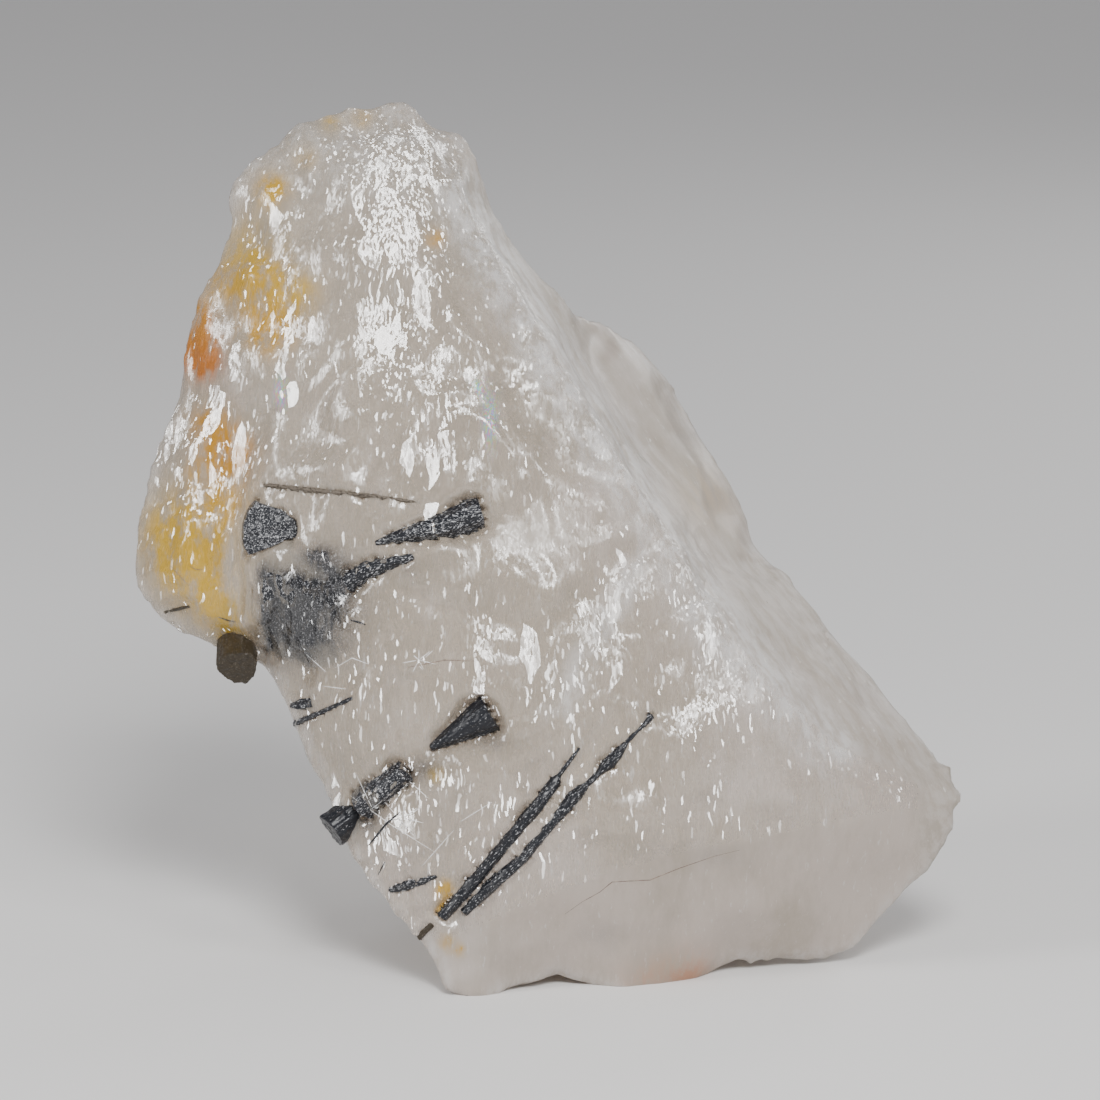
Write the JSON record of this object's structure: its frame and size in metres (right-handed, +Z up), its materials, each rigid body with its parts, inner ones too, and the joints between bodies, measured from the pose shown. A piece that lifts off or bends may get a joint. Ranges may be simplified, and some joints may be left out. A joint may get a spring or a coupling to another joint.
{
  "type": "tourmalinated quartz",
  "caption": "Hand-sized broken lump of milky quartz, taller than it is deep, with black tourmaline crystals set in its front face and rim. It stands on its broken base.",
  "frame": {"origin": "middle of the box on the surface that the stone stands on", "axes": "+Z up, -Y towards the front face that shows the tourmaline, +X to the right as seen from the front"},
  "size_m": [0.084, 0.0488, 0.0865],
  "materials": {
    "milky_quartz": "broken, glassy and milky",
    "black_tourmaline": "glassy, ribbed lengthwise",
    "brown_tourmaline": "glassy, ribbed lengthwise"
  },
  "bodies": {
    "root": {"quartz": "milky_quartz", "rim_stub": "brown_tourmaline", "end_face_stub": "black_tourmaline", "thick_body": "black_tourmaline", "upper_band": "black_tourmaline", "lower_band": "black_tourmaline", "long_needle": "brown_tourmaline", "pair_block": "black_tourmaline", "pair_needle": "black_tourmaline", "chain_rim_end": "black_tourmaline", "chain_middle": "black_tourmaline", "chain_wedge": "black_tourmaline", "needle_upper": "black_tourmaline", "needle_tip": "brown_tourmaline", "needle_lower": "black_tourmaline", "short_band": "black_tourmaline", "lobe_needle": "brown_tourmaline"}
  },
  "joints": []
}
